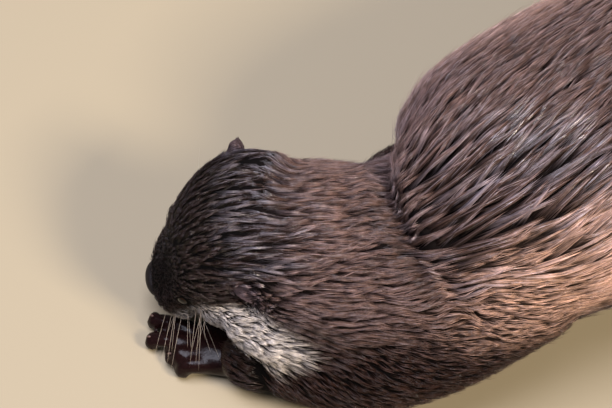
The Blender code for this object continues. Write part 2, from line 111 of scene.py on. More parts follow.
# Over each part of the body: the depth of the coat in mm, and how far the form is softened, from 0 to 1.
HIDE = {
    "head": (1.4, 0.10),
    "jaw": (1.2, 0.10),
    "ear": (0.4, 0.0),
    "neck": (3.4, 0.70),
    "trunk": (4.6, 1.00),
    "foreleg": (3.0, 0.45),
    "hindleg": (2.8, 0.40),
    "tail": (2.8, 0.40),
    "forepaw": (0.0, 0.02),
    "hindpaw": (0.0, 0.02),
}


def read(mesh, field="vertices", name="co", width=3):
    """One field of a mesh as an array of rows."""
    items = getattr(mesh, field)
    values = np.empty(len(items) * width, np.int32 if name == "vertices" else np.float32)
    items.foreach_get(name, values)
    return values.reshape(-1, width)


def write(mesh, places):
    mesh.vertices.foreach_set("co", places.astype(np.float32).ravel())
    mesh.update()


def mesh_from(shape, name):
    """The finished mesh of a bmesh, which is then let go."""
    mesh = bpy.data.meshes.new(name)
    shape.to_mesh(mesh)
    shape.free()
    return mesh


def add_object(name, data):
    obj = bpy.data.objects.new(name, data)
    bpy.context.scene.collection.objects.link(obj)
    return obj


def apply_modifiers(obj):
    graph = bpy.context.evaluated_depsgraph_get()
    mesh = bpy.data.meshes.new_from_object(obj.evaluated_get(graph))
    obj.modifiers.clear()
    obj.vertex_groups.clear()
    obj.data = mesh


def voxel_remesh(obj, size):
    remesh = obj.modifiers.new("remesh", "REMESH")
    remesh.mode = "VOXEL"
    remesh.voxel_size = size
    apply_modifiers(obj)


def weigh(obj, weights):
    """A vertex group that holds the weights in twentieths."""
    group = obj.vertex_groups.new(name="weights")
    for level in range(1, 21):
        chosen = np.flatnonzero(np.round(weights * 20) == level)
        group.add(chosen.tolist(), level / 20, "REPLACE")
    return group.name


def spread_evenly(mesh, values, rounds):
    """Evens out values held on a mesh's vertices, each round by one edge length."""
    edges = read(mesh, "edges", "vertices", 2).astype(np.int64)
    count = np.bincount(edges.ravel(), minlength=len(values))
    columns = []
    for column in values.astype(np.float64).T:
        for _ in range(rounds):
            total = np.bincount(edges[:, 0], column[edges[:, 1]], len(column))
            total += np.bincount(edges[:, 1], column[edges[:, 0]], len(column))
            column = 0.5 * column + 0.5 * total / count
        columns.append(column)
    return np.stack(columns, 1)


def joined_flesh():
    """The flesh in one mesh, each piece a little grown, with lids over the eyes, and each face's piece."""
    whole = bmesh.new()
    piece_of_face = []
    for number, name in enumerate(FLESH):
        piece = bmesh.new()
        piece.from_mesh(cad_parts[name].data)
        bmesh.ops.remove_doubles(piece, verts=piece.verts, dist=0.02 * MM)
        piece.normal_update()
        for vertex in piece.verts:
            vertex.co += vertex.normal * OVERLAP
        if name == "head":
            for centre in eyes.values():
                place = Matrix.Translation(centre)
                bmesh.ops.create_icosphere(piece, subdivisions=4, radius=EYE_RADIUS + LID, matrix=place)
        piece_of_face += [number] * len(piece.faces)
        mesh = mesh_from(piece, name)
        whole.from_mesh(mesh)
        bpy.data.meshes.remove(mesh)
    tree = BVHTree.FromBMesh(whole)
    return mesh_from(whole, "skin"), tree, np.array(piece_of_face)


def piece_at(points):
    """The number of the piece of flesh that lies nearest to each point."""
    return piece_of_face[[flesh_tree.find_nearest(point)[2] for point in points.tolist()]]


def soften(obj, weights, rounds):
    """Rounds off facets and joins, and puts back the bulk that this takes."""
    sharp = read(obj.data)
    smooth = obj.modifiers.new("smooth", "SMOOTH")
    smooth.factor = 0.5
    smooth.iterations = rounds
    smooth.vertex_group = weigh(obj, weights)
    apply_modifiers(obj)
    soft = read(obj.data)
    write(obj.data, soft - 0.9 * spread_evenly(obj.data, soft - sharp, 40))


mesh, flesh_tree, piece_of_face = joined_flesh()
skin = add_object("skin", mesh)
voxel_remesh(skin, FINE)

places = read(skin.data)
hide = np.array([HIDE[kind] for kind in KIND])[piece_at(places)]
behind_ears = rise(1.5, -1.5, in_head_frame(places)[:, 0]) * (hide[:, 1] == HIDE["head"][1])
hide += behind_ears[:, None] * (np.array(HIDE["neck"]) - HIDE["head"])
for name in FLESH:
    if "paw" in name:
        from_paw = np.linalg.norm(places - np.array(middle(name)), axis=1)
        on_leg = np.isin(hide[:, 0], (HIDE["foreleg"][0], HIDE["hindleg"][0])) | (from_paw < 30 * MM)
        hide[:, 0] *= np.where(on_leg, rise(24 * MM, 52 * MM, from_paw), 1)
hide = spread_evenly(skin.data, hide, 60)
on_paw = np.array(["paw" in kind for kind in KIND])[piece_at(places)]
wrist = spread_evenly(skin.data, on_paw[:, None], 25)
hide[:, 1:] = np.maximum(hide[:, 1:], 4 * wrist * (1 - wrist))
hide *= rise(5.5 * MM, 11 * MM, from_nearest(places, eyes.values()))[:, None]
soften(skin, hide[:, 1], 150)
inwards = OVERLAP + hide[:, :1] * MM
write(skin.data, read(skin.data) - read(skin.data, "vertex_normals", "vector") * inwards)

# A finer grain round the eyes, then the lids, the mouth and the crease behind the neck.
LOOK = Vector((0.36, 0.86, 0.36)).normalized()  # the way the left eye looks, in the head's frame
OPENING = (3.9 * MM, 2.7 * MM)  # half length and half height of the opening between the lids
AROUND_EYE = 8 * MM
MOUTH_UP, MOUTH_BACK = -0.98, 4.4  # level of the mouth and place of its corner, in cm in the head's frame
CREASE = ((-0.192, -0.022, 0.115), (-0.186, -0.062, 0.121), (-0.165, -0.088, 0.105))  # three places on it
CREASE_DEPTH, CREASE_WIDTH = 4.5 * MM, 5.0 * MM


def refine(mesh, chooser, cuts):
    fine = bmesh.new()
    fine.from_mesh(mesh)
    near = chooser(read(mesh))
    edges = [edge for edge in fine.edges if near[edge.verts[0].index] and near[edge.verts[1].index]]
    bmesh.ops.subdivide_edges(fine, edges=edges, cuts=cuts, use_grid_fill=True)
    bmesh.ops.triangulate(fine, faces=[face for face in fine.faces if len(face.verts) > 4])
    fine.to_mesh(mesh)
    fine.free()


def near_eyes(points):
    return from_nearest(points, eyes.values()) < AROUND_EYE


def eye_view(points, side):
    """Distance from an eye's middle, and the place across its opening: along it and up it."""
    look = Vector((LOOK.x, LOOK.y * SIDES[side], LOOK.z))
    look = (head_turn @ look).normalized()
    along = (ahead - above * 0.35).normalized()
    along = (along - look * along.dot(look)).normalized()
    up = look.cross(along) * -SIDES[side]
    away = points - np.array(eyes[side])
    reach = np.linalg.norm(away, axis=1)
    front = away @ np.array(look) > 0
    return away, reach, front, away @ np.array(along), away @ np.array(up)


def shape_lids(points):
    for side in SIDES:
        away, reach, front, along, up = eye_view(points, side)
        along, up = along / OPENING[0], up / OPENING[1]
        almond = np.sqrt(along**2 + up**2 * (1 + 0.25 * along**2))
        rim = EYE_RADIUS + LID * (0.35 + 0.65 * np.exp(-(((almond - 1.25) / 0.3) ** 2)))
        wanted = np.where(almond < 1, EYE_RADIUS - 1.0 * MM, rim)
        share = (rise(2.1, 1.25, almond) * front * (reach < AROUND_EYE))[:, None]
        lid = np.array(eyes[side]) + away / reach[:, None] * wanted[:, None]
        points = points * (1 - share) + lid * share
    return points


def shape_mouth(points, normals):
    """The line of the mouth, under the lips, fading out behind its corners."""
    a, _, u = in_head_frame(points).T
    level = MOUTH_UP + 0.12 * rise(6.2, 7.2, a)
    groove = np.exp(-(((u - level) / 0.09) ** 2)) * rise(MOUTH_BACK - 0.4, MOUTH_BACK + 0.3, a)
    return points - normals * (groove * 1.6 * MM)[:, None]


def shape_crease(points, normals):
    """The fold of loose skin where the bent neck meets the shoulders."""
    first, second, third = (np.array(place) for place in CREASE)
    across = np.cross(second - first, third - first)
    across /= np.linalg.norm(across)
    near = np.linalg.norm(points - second, axis=1)
    fade = rise(0.085, 0.035, near)
    distance = (points - first) @ across
    fold = CREASE_DEPTH * np.exp(-((distance / CREASE_WIDTH) ** 2))
    swell = 0.5 * CREASE_DEPTH * np.exp(-(((np.abs(distance) - 2 * CREASE_WIDTH) / CREASE_WIDTH) ** 2))
    return points - normals * ((fold - swell) * fade)[:, None]


def point_ears(points):
    """The ears, drawn in towards their tips."""
    for side, sign in SIDES.items():
        away = points - np.array(middle("ear_" + side))
        outwards = np.array(to_left * sign)
        height = away @ outwards
        near = rise(13 * MM, 9 * MM, np.linalg.norm(away, axis=1))
        across = away - np.outer(height, outwards) + np.array(ahead) * 1.5 * MM
        points = points - across * (0.8 * rise(0, 5.5 * MM, height) * near)[:, None]
        points = points + np.outer(near * rise(1 * MM, 5 * MM, height) * 2 * MM, outwards)
    return points


refine(skin.data, near_eyes, 2)
normals = read(skin.data, "vertex_normals", "vector")
places = shape_crease(read(skin.data), normals)
places = point_ears(shape_mouth(places, normals))
write(skin.data, shape_lids(places))

skin_piece = piece_at(read(skin.data))
plain = ~np.isin(np.array(KIND)[skin_piece], ["head", "jaw", "ear", "forepaw", "hindpaw"])
weights = spread_evenly(skin.data, plain[:, None], 10)[:, 0]
decimate = skin.modifiers.new("decimate", "DECIMATE")
decimate.ratio = SKIN_TRIANGLES / sum(len(face.vertices) - 2 for face in skin.data.polygons)
decimate.vertex_group = weigh(skin, 0.1 + 0.9 * weights)
decimate.use_collapse_triangulate = True
apply_modifiers(skin)

# The markings of skin and coat, as linear colours. Some carry painted light: sunlight on the flanks, and
# shade low down, under the coat and on the hands.
BROWN = (0.178, 0.104, 0.086)
DUSK = (0.021, 0.0090, 0.0068)
SODDEN_AND_SHADED = (0.036, 0.0145, 0.0095)
CREAM = (0.60, 0.535, 0.49)
TAN_AND_SUNLIGHT = (0.72, 0.43, 0.31)
BELLY = (0.17, 0.115, 0.088)
EAR = (0.16, 0.105, 0.11)
# The bare hands and feet: dark wet maroon skin, darkened further as painted shade.
BARE_IN_SHADE = (0.009, 0.0032, 0.0030)

# The paler tan patch on either flank, partly the coat's own paler flank and partly painted sunlight (X,
# distance from the spine, Z), and the soaked left shoulder, darker from wet fur and painted shade (X, Y, Z),
# by middle and half sizes. The spine's line is given as X against Y.
TAN_SUNLIT_FLANK = np.array(((-0.108, 0.066, 0.110), (0.072, 0.040, 0.036)))
DRENCHED = np.array(((-0.150, -0.062, 0.140), (0.058, 0.040, 0.050)))
SPINE = ((-0.20, -0.10, 0.0, 0.10), (-0.05, -0.015, 0.02, 0.03))

# The upper edge of the pale cheek, in cm in the head's frame: how far ahead, and how high.
CHEEK_AHEAD = (-9, -5, -2, -0.3, 1.1, 2.0, 3.5, 4.5, 5.4, 6.2, 7.4)
CHEEK_UP = (-9, -6.5, -4.2, -0.6, -0.25, 0.25, 0.45, 0.30, 0.0, 0.05, -0.4)

ear_spots = [np.array(middle("ear_" + side)) for side in SIDES]


def out_of(patch, points):
    """How far each place is from a patch's middle, as a share of the patch's half sizes."""
    return np.linalg.norm((points - patch[0]) / patch[1], axis=1)


def markings(points):
    """The colour of the coat at each place: dusky face and crown, cream cheeks and throat, brown back, a tan
    flank that is partly painted sunlight, and darker low parts that are partly painted shade.
    """
    a, l, u = in_head_frame(points).T
    l = np.abs(l)
    dusky = rise(-5.0, -0.4, a) * rise(-0.3, 1.0, u)
    throat = np.interp(l, [2.2, 4.0], [-4.5, 0.1])
    edge = np.interp(a, CHEEK_AHEAD, CHEEK_UP)
    chest = rise(4.9, 4.0, l) * rise(3.8, 3.0, a)
    over_arm = rise(-0.35, 0.35, u - np.interp(a, [3.2, 4.2], [-3.3, -2.0]))
    pale = rise(0.25, -0.2, u - edge) * np.clip(chest + over_arm, 0, 1) * rise(-0.5, 0.5, a - throat)
    x, y, z = points.T
    aside = np.abs(y - np.interp(x, *SPINE))
    # Paler tan on the flanks: partly the coat's own colour, partly painted sunlight.
    tan_and_sunlight = rise(1.3, 0.35, out_of(TAN_SUNLIT_FLANK, np.stack([x, aside, z], 1)))
    # Darker low on the body and legs, and on the soaked left shoulder: partly wet fur, partly painted shade.
    sodden_and_shaded = rise(0.106, 0.064, z) * rise(0.02, -0.06, x)
    sodden_and_shaded = np.maximum(sodden_and_shaded, 0.4 * rise(1.3, 0.6, out_of(DRENCHED, points)))
    belly = 0.8 * rise(0.052, 0.030, z) * rise(0.075, 0.035, aside) * rise(-0.21, -0.17, x)
    ear = rise(9.5 * MM, 6.5 * MM, from_nearest(points, ear_spots))
    colour = np.tile(BROWN, (len(points), 1))
    layers = (sodden_and_shaded, SODDEN_AND_SHADED), (dusky, DUSK), (tan_and_sunlight, TAN_AND_SUNLIGHT), (belly, BELLY), (pale, CREAM), (ear, EAR)
    for share, other in layers:
        colour = colour * (1 - share[:, None]) + np.array(other) * share[:, None]
    return colour


def paint(mesh, name, colour):
    attribute = mesh.attributes.new(name, "FLOAT_COLOR", "POINT")
    attribute.data.foreach_set("color", np.c_[colour, np.ones(len(colour))].astype(np.float32).ravel())


def mark(mesh, name, values):
    mesh.attributes.new(name, "FLOAT", "POINT").data.foreach_set("value", values.astype(np.float32))


places = read(skin.data)
skin_piece = piece_at(places)
skin_kind = np.array(KIND)[skin_piece]
cuff = spread_evenly(skin.data, ~np.isin(skin_kind, ["forepaw", "hindpaw"])[:, None], 40)
bare = rise(0.17, 0.05, cuff)
# The hide under the coat is painted near black: painted shade in the gaps between locks, less so in the ears.
shade_under_coat = spread_evenly(skin.data, np.where(skin_kind == "ear", 0.28, 0.03)[:, None], 3)
paint(skin.data, "marking", markings(places) * shade_under_coat * (1 - bare) + np.array(BARE_IN_SHADE) * bare)
mark(skin.data, "bare", bare[:, 0])


def new_material(name):
    material = bpy.data.materials.new(name)
    material.use_nodes = True
    nodes = material.node_tree.nodes
    return material, nodes, material.node_tree.links, nodes["Principled BSDF"]


def attribute(nodes, name):
    node = nodes.new("ShaderNodeAttribute")
    node.attribute_name = name
    return node


def make_mottling():
    """A shader group that clouds a colour with soft noise and gives the noise as a height as well."""
    group = bpy.data.node_groups.new("mottling", "ShaderNodeTree")
    sockets = (("Place", "INPUT", "Vector"), ("Colour", "INPUT", "Color"), ("Scale", "INPUT", "Float"))
    sockets += (("Contrast", "INPUT", "Float"), ("Colour", "OUTPUT", "Color"), ("Height", "OUTPUT", "Float"))
    for name, way, kind in sockets:
        group.interface.new_socket(name=name, in_out=way, socket_type="NodeSocket" + kind)
    inside, links = group.nodes, group.links
    given, result = inside.new("NodeGroupInput"), inside.new("NodeGroupOutput")
    clouds = inside.new("ShaderNodeTexNoise")
    clouds.inputs["Detail"].default_value = 3
    links.new(given.outputs["Place"], clouds.inputs["Vector"])
    links.new(given.outputs["Scale"], clouds.inputs["Scale"])
    swing = inside.new("ShaderNodeMath")
    swing.operation = "SUBTRACT"
    swing.inputs[1].default_value = 0.5
    links.new(clouds.outputs["Fac"], swing.inputs[0])
    shade = inside.new("ShaderNodeMath")
    shade.operation = "MULTIPLY_ADD"
    shade.inputs[2].default_value = 1.0
    links.new(swing.outputs["Value"], shade.inputs[0])
    links.new(given.outputs["Contrast"], shade.inputs[1])
    tint = inside.new("ShaderNodeVectorMath")
    tint.operation = "SCALE"
    links.new(given.outputs["Colour"], tint.inputs[0])
    links.new(shade.outputs["Value"], tint.inputs["Scale"])
    links.new(tint.outputs["Vector"], result.inputs["Colour"])
    links.new(clouds.outputs["Fac"], result.inputs["Height"])
    return group


mottling = make_mottling()


def follow_object(nodes, links, socket):
    """Makes a texture follow the object's own coordinates."""
    links.new(nodes.new("ShaderNodeTexCoord").outputs["Object"], socket)


def mottle(nodes, links, scale, contrast):
    """Places the mottling in a material, on the shader's base colour, and returns it."""
    clouds = nodes.new("ShaderNodeGroup")
    clouds.node_tree = mottling
    clouds.inputs["Scale"].default_value = scale
    clouds.inputs["Contrast"].default_value = contrast
    follow_object(nodes, links, clouds.inputs["Place"])
    links.new(clouds.outputs["Colour"], nodes["Principled BSDF"].inputs["Base Color"])
    return clouds


def add_bump(nodes, links, height, strength, distance):
    bump = nodes.new("ShaderNodeBump")
    bump.inputs["Strength"].default_value = strength
    bump.inputs["Distance"].default_value = distance
    links.new(height, bump.inputs["Height"])
    links.new(bump.outputs["Normal"], nodes["Principled BSDF"].inputs["Normal"])


hide_material, nodes, links, shader = new_material("hide")
bare_mask = attribute(nodes, "bare").outputs["Fac"]
fuzz = mottle(nodes, links, 900, 1.5)
links.new(attribute(nodes, "marking").outputs["Color"], fuzz.inputs["Colour"])
wrinkles = nodes.new("ShaderNodeTexVoronoi")
wrinkles.feature = "DISTANCE_TO_EDGE"
wrinkles.inputs["Scale"].default_value = 620
follow_object(nodes, links, wrinkles.inputs["Vector"])
for socket, low, high in (("Roughness", 0.90, 0.24), ("Coat Weight", 0.0, 0.08)):
    wetted = nodes.new("ShaderNodeMapRange")
    wetted.inputs["To Min"].default_value = low
    wetted.inputs["To Max"].default_value = high
    links.new(bare_mask, wetted.inputs["Value"])
    links.new(wetted.outputs["Result"], shader.inputs[socket])
grain = nodes.new("ShaderNodeMix")
links.new(bare_mask, grain.inputs["Factor"])
links.new(fuzz.outputs["Height"], grain.inputs["A"])
links.new(wrinkles.outputs["Distance"], grain.inputs["B"])
add_bump(nodes, links, grain.outputs["Result"], 0.35, 0.5 * MM)
shader.inputs["Specular IOR Level"].default_value = 0.09
shader.inputs["Coat Roughness"].default_value = 0.14
skin.data.materials.clear()
skin.data.materials.append(hide_material)
skin.data.shade_smooth()
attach(skin, "root")
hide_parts(*FLESH)

# ---- The lie of the coat ------------------------------------------
# Nothing solid: the way that the hairs lie. They stream from the nose over the head, back and tail, as the
# lines of a steady flow would that starts at the nose and leaks out evenly.

STREAM_MESH = 8 * MM

stream = add_object("stream", skin.data.copy())
voxel_remesh(stream, STREAM_MESH)
even = bmesh.new()
even.from_mesh(stream.data)
bmesh.ops.triangulate(even, faces=even.faces)
even.to_mesh(stream.data)
even.free()


def corners_of(mesh):
    return read(mesh, "polygons", "vertices", 3).astype(np.int64)


def streaming(mesh):
    """The unit direction away from the nose at each vertex of a closed mesh of triangles."""
    corners = corners_of(mesh)
    points = read(mesh).astype(np.float64)
    a, b, c = (points[corners[:, i]] for i in range(3))
    normal = np.cross(b - a, c - a)
    doubled = np.linalg.norm(normal, axis=1, keepdims=True).clip(1e-12)
    opposite = [c - b, a - c, b - a]
    count = len(points)
    flow = np.zeros((count, count))
    area = np.zeros(count)
    for i in range(3):
        j, k = (i + 1) % 3, (i + 2) % 3
        weight = (-(opposite[j] * opposite[k]).sum(1) / doubled[:, 0] / 2).clip(0.02)
        for row, column, sign in ((j, k, -1), (k, j, -1), (j, j, 1), (k, k, 1)):
            np.add.at(flow, (corners[:, row], corners[:, column]), sign * weight)
        np.add.at(area, corners[:, i], doubled[:, 0] / 6)
    at_nose = np.linalg.norm(points - np.array(nose_middle), axis=1) < 2.2 * STREAM_MESH
    flow[at_nose, at_nose] += 1e3
    height = np.linalg.solve(flow, np.where(at_nose, 0, area))
    slope = sum(height[corners[:, i], None] * np.cross(normal, opposite[i]) for i in range(3)) / doubled**2
    slope /= np.linalg.norm(slope, axis=1, keepdims=True).clip(1e-9)
    way = np.zeros((count, 3))
    for i in range(3):
        np.add.at(way, corners[:, i], slope * doubled)
    return points, way / np.linalg.norm(way, axis=1, keepdims=True).clip(1e-9)


def tree_of(points):
    tree = KDTree(len(points))
    for index, point in enumerate(points):
        tree.insert(point, index)
    tree.balance()
    return tree


stream_points, stream_way = streaming(stream.data)
stream_piece = piece_at(stream_points)

# On the wrists, ankles and paws it lies towards the toes.
for paw in (name for name in FLESH if "paw" in name):
    limb = [FLESH.index(paw), FLESH.index(paw.replace("paw", "leg"))]
    knuckles = np.mean([middle(f"claw_{paw.replace('paw', '')}_{number}") for number in range(1, 6)], axis=0)
    from_paw = np.linalg.norm(stream_points - np.array(middle(paw)), axis=1)
    share = rise(50 * MM, 34 * MM, from_paw) * np.isin(stream_piece, limb)
    share = spread_evenly(stream.data, share[:, None], 2)
    to_toes = 2 * knuckles - np.array(middle(paw)) - stream_points
    stream_way = stream_way * (1 - share) + to_toes / np.linalg.norm(to_toes, axis=1, keepdims=True) * share
stream_tree = tree_of(stream_points)


def way_at(place):
    """The way that the coat lies at a place, evened out over the nearest few points of the flow."""
    found = stream_tree.find_n(place, 4)
    share = np.array([1 / (distance + MM) for _, _, distance in found])
    return Vector(share @ stream_way[[index for _, index, _ in found]])


# ---- The coat -----------------------------------------------------
# Dense dark fur, clumped by water into pointed locks that overlap like thatch. Hairs grow from the skin, lie
# back along the body and draw together towards the tip of their lock, over a wet core.

# Length, spacing of the locks and width of a hair in mm, hairs on a square cm, how far a lock draws together,
# width of a lock's wet core in mm, how light its roots are (darker roots are painted shade deep in the coat),
# how much water shines on it (which also sets its painted sheen).
COAT = {
    "muzzle": (3.4, 1.7, 0.22, 160, 0.45, 0.0, 0.30, 0.10),
    "head": (12.0, 2.8, 0.22, 135, 0.82, 0.0, 0.12, 0.12),
    "crown": (22.0, 4.2, 0.25, 105, 0.96, 1.1, 0.04, 1.00),
    "cheek": (8.0, 2.4, 0.23, 150, 0.50, 0.0, 0.55, 0.15),
    "jaw": (4.5, 2.2, 0.25, 110, 0.60, 0.0, 0.40, 0.15),
    "ear": (2.2, 1.5, 0.20, 110, 0.40, 0.0, 0.30, 0.20),
    "neck": (14.0, 3.0, 0.22, 128, 0.70, 0.0, 0.20, 0.56),
    "trunk": (19.0, 4.0, 0.32, 62, 0.62, 0.4, 0.36, 0.65),
    "drenched": (32.0, 5.6, 0.32, 46, 0.97, 2.3, 0.04, 1.00),
    "foreleg": (9.0, 3.2, 0.36, 46, 0.68, 0.4, 0.20, 0.25),
    "hindleg": (11.0, 4.0, 0.40, 42, 0.70, 0.5, 0.22, 0.50),
    "tail": (11.0, 4.0, 0.42, 42, 0.70, 0.5, 0.22, 0.50),
    "forepaw": (3.0, 1.8, 0.26, 110, 0.50, 0.0, 0.30, 0.20),
    "hindpaw": (3.0, 1.8, 0.26, 110, 0.50, 0.0, 0.30, 0.20),
}
SILVER_AND_SHEEN = np.array((0.21, 0.19, 0.22))  # what the palest guard hairs add, and painted sheen on the wet locks, where the coat shines
BENDS = 6  # how many straight runs a lock's path has
rng = np.random.default_rng(7)

corner = corners_of(skin.data)
normals = read(skin.data, "vertex_normals", "vector")
a, _, u = in_head_frame(places).T
x, y, z = places.T
on_face = np.isin(skin_kind, ["head", "jaw"])
above_neck = np.isin(skin_kind, ["head", "neck"])
over_ears = u - 0.35 * np.minimum(a + 2, 0)
zones = {
    "crown": rise(1.6, -0.6, a) * rise(-4.8, -3.6, a) * rise(-0.4, 0.7, over_ears) * above_neck,
    "cheek": rise(0.15, 0.35, markings(places).mean(1)) * (on_face | (skin_kind == "neck")),
    "muzzle": rise(2.2, 5.2, a) * on_face,
    "drenched": rise(1.25, 0.75, out_of(DRENCHED, places)) * (skin_kind == "trunk"),
}
coat_there = np.array([COAT[kind] for kind in KIND])[skin_piece]
for zone, share in zones.items():
    coat_there += (np.array(COAT[zone]) - coat_there) * share[:, None]
coat_there[:, 0] *= 0.35 + 0.65 * rise(9 * MM, 20 * MM, from_nearest(places, ear_spots))
coat_there[:, 3] *= (1 - bare[:, 0]) * (1 - 0.45 * rise(0.045, 0.025, z) * (skin_kind == "trunk"))
depth_there = np.array([[HIDE[kind][0]] for kind in KIND])[skin_piece]
LEAN = {"trunk": 15, "foreleg": -22, "neck": -4}  # turn of the coat on the left, in degrees, upwards
MIDLINE = ((-0.20, 0.05), (-0.03, 0.06))  # parts the left of the coat from the right, X against Y
to_right = y - np.interp(x, *MIDLINE)
lean_there = np.array([LEAN.get(kind, 0) for kind in KIND])[skin_piece] * rise(0.05, -0.01, to_right)
lean_there = spread_evenly(skin.data, lean_there[:, None], 50)
coat_there = spread_evenly(skin.data, np.c_[coat_there, depth_there, lean_there], 8)

a, b, c = (places[corner[:, i]] for i in range(3))
wanted = np.linalg.norm(np.cross(b - a, c - a), axis=1) / 2 * 1e4 * coat_there[corner, 3].mean(1)
picked = rng.random(int(wanted.sum()))
face_of = np.searchsorted(np.cumsum(wanted) / wanted.sum(), picked).clip(0, len(wanted) - 1)
share = rng.dirichlet((1, 1, 1), len(picked))[:, :, None]


def on_skin(values):
    """Values held on the skin's vertices, at the roots."""
    return (values[corner[face_of]] * share).sum(1)


root, root_normal, root_coat = on_skin(places), on_skin(normals), on_skin(coat_there)
root_normal /= np.linalg.norm(root_normal, axis=1, keepdims=True)


def bald(points, normals, kinds):
    """True on the nose pad, inside the lids, in the cups of the ears and along the line of the mouth."""
    a, l, u = in_head_frame(points).T
    low, high = (np.array(corner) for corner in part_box("nose"))
    none = (np.linalg.norm((points - np.array(nose_middle)) / (high - low), axis=1) < 0.52)
    none |= (np.abs(u - MOUTH_UP) < 0.05) & (a > MOUTH_BACK)
    for side, sign in SIDES.items():
        _, reach, front, along, up = eye_view(points, side)
        none |= front & (reach < AROUND_EYE) & ((along / OPENING[0]) ** 2 + (up / OPENING[1]) ** 2 < 1.9)
        cup = head_turn @ Vector((math.cos(0.84), math.sin(0.84) * sign, 0.2))
        none |= (kinds == "ear") & (l * sign > 0) & (normals @ np.array(cup) > 0.25)
    return none


kept = ~bald(root, root_normal, skin_kind[corner[face_of, 0]])
root, root_normal, root_coat, face_of = root[kept], root_normal[kept], root_coat[kept], face_of[kept]


def nearest_facing(tree, facing, point, normal):
    """The nearest point that faces much the same way, so that a lock keeps to one side of a limb or ear."""
    found = tree.find_n(point, 5)
    for _, index, _ in found:
        if facing[index] @ normal > 0.25:
            return index
    return found[0][1]


def means(values):
    """The mean of the roots' values in each lock."""
    members = np.bincount(lock_of, minlength=len(lock)).clip(1)
    return np.stack([np.bincount(lock_of, column, len(lock)) / members for column in values.T], 1)


first = rng.random(len(root)) < 1 / (root_coat[:, 1] * 0.1) ** 2 / root_coat[:, 3].clip(1)
lock, lock_normal = root[first], root_normal[first]
for _ in range(2):
    tree = tree_of(lock)
    lock_of = np.array([nearest_facing(tree, lock_normal, p, n) for p, n in zip(root, root_normal)])
    lock, lock_normal = means(root), means(root_normal)
lock_coat = means(root_coat)
lock_tone = rng.random(len(lock))
wet = 0.25 + 0.75 * rise(0.2, 0.95, rng.random(len(lock)))
lock_sheen = 0.95 * rise(0.6, 1.0, rng.random(len(lock))) * lock_coat[:, 7]  # painted sheen on each whole wet lock

skin_tree = BVHTree.FromPolygons(places.tolist(), corner.tolist())
lock_kind = np.array(KIND)[piece_at(lock)]
on_left = lock[:, 1] < np.interp(lock[:, 0], *MIDLINE)
stray = np.radians(rng.normal(0, 7, len(lock)) + lock_coat[:, 9])
lock_length = lock_coat[:, 0] * MM * rng.uniform(0.7, 1.3, len(lock))
path = np.zeros((len(lock), BENDS + 1, 3))
path_normal = np.zeros_like(path)
for i, (place, length, angle) in enumerate(zip(lock, lock_length, stray)):
    place, normal, _, _ = skin_tree.find_nearest(place)
    for k in range(BENDS + 1):
        path[i, k], path_normal[i, k] = place, normal
        way = way_at(place)
        way = (way - normal * way.dot(normal)).normalized()
        way = way * math.cos(angle) + normal.cross(way) * math.sin(angle)
        place, normal, _, _ = skin_tree.find_nearest(place + way * (length / BENDS))
for _ in range(2):
    path_normal[:, 1:-1] = (path_normal[:, :-2] + path_normal[:, 1:-1] + path_normal[:, 2:]) / 3
path_normal /= np.linalg.norm(path_normal, axis=2, keepdims=True)


def along_path(values, which, s):
    """Values of the locks' paths at a share s of their length, run on straight past either end."""
    first = np.floor(s * BENDS).astype(int).clip(0, BENDS - 1)
    part = (s * BENDS - first)[:, None]
    return values[which, first] * (1 - part) + values[which, first + 1] * part


def unit(rows):
    return rows / np.linalg.norm(rows, axis=1, keepdims=True).clip(1e-9)


# Each root's place on an unwrap of the body's own shape, where its hair keeps one small patch.
PATCH = 0.003
bpy.context.view_layer.objects.active = stream
bpy.ops.object.mode_set(mode="EDIT")
bpy.ops.mesh.select_all(action="SELECT")
bpy.ops.uv.smart_project(angle_limit=math.radians(66), island_margin=0.01)
bpy.ops.object.mode_set(mode="OBJECT")
stream_corners = corners_of(stream.data)
stream_faces = BVHTree.FromPolygons(stream_points.tolist(), stream_corners.tolist())
unwrap = read(stream.data.uv_layers.active, "data", "uv", 2).reshape(-1, 3, 2)
bpy.data.objects.remove(stream)


def patch_place(points):
    """Where each point falls on the unwrap."""
    found = [stream_faces.find_nearest(point) for point in points.tolist()]
    face = np.array([index for _, _, index, _ in found])
    on_face = np.array([place for place, _, _, _ in found])
    a, b, c = (stream_points[stream_corners[face, i]] for i in range(3))
    whole = np.cross(b - a, c - a)
    size = (whole * whole).sum(1)
    v = (np.cross(on_face - a, c - a) * whole).sum(1) / size
    w = (np.cross(b - a, on_face - a) * whole).sum(1) / size
    share = np.stack([1 - v - w, v, w], 1).clip(0, 1)
    return (unwrap[face] * share[:, :, None]).sum(1)


ROOT_DEPTH = 0.3 * MM  # how far a hair is let into the skin
TAPER = 0.6  # how much thinner a hair is just before its point
CATCH_UP = 0.6  # how far a hair that grows ahead of its lock's root is shortened to end with the lock
DRAWN_BY, DRAW_CURVE = 1.15, 0.8  # how early along a hair its lock has drawn together, and how evenly


